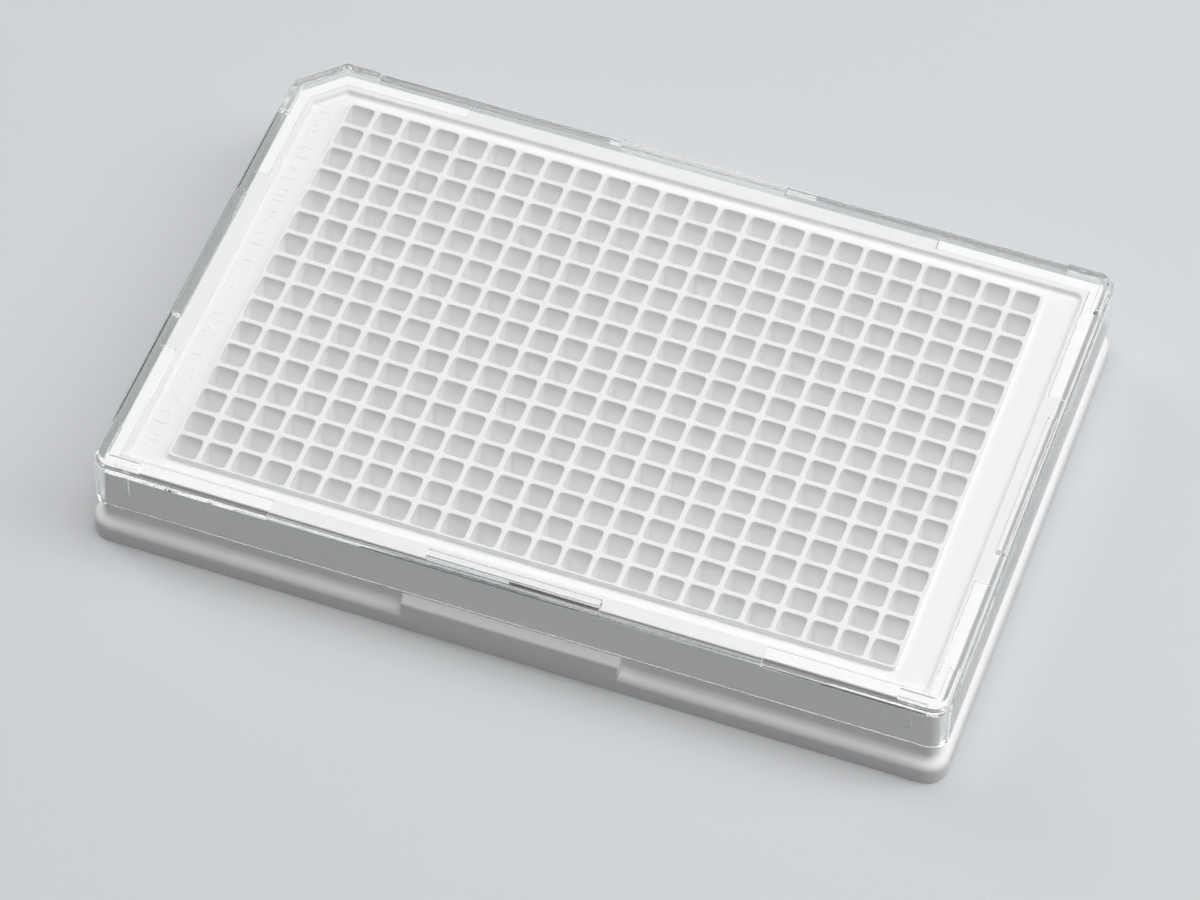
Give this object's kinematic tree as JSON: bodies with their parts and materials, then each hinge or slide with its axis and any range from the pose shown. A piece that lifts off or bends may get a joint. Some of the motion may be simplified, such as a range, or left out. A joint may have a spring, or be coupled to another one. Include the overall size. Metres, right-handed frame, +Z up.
{
  "type": "well plate",
  "caption": "Skirted laboratory microplate with a raised field of square wells, a cut-off corner and finger grips, closed by a clear lid with stacking ribs.",
  "frame": {"origin": "centre of the footprint, on the surface that the plate stands on", "axes": "+X along the long side from the first column of wells to the last, +Y towards the first row of wells, +Z up through the lid; the cut-off corner is at -X, +Y"},
  "size_m": [0.1278, 0.0854, 0.0169],
  "materials": {
    "white_polystyrene": "injection-moulded, satin",
    "clear_polystyrene": "injection-moulded, clear and polished"
  },
  "bodies": {
    "root": {"well_plate": "white_polystyrene", "lid": "clear_polystyrene"}
  },
  "joints": []
}
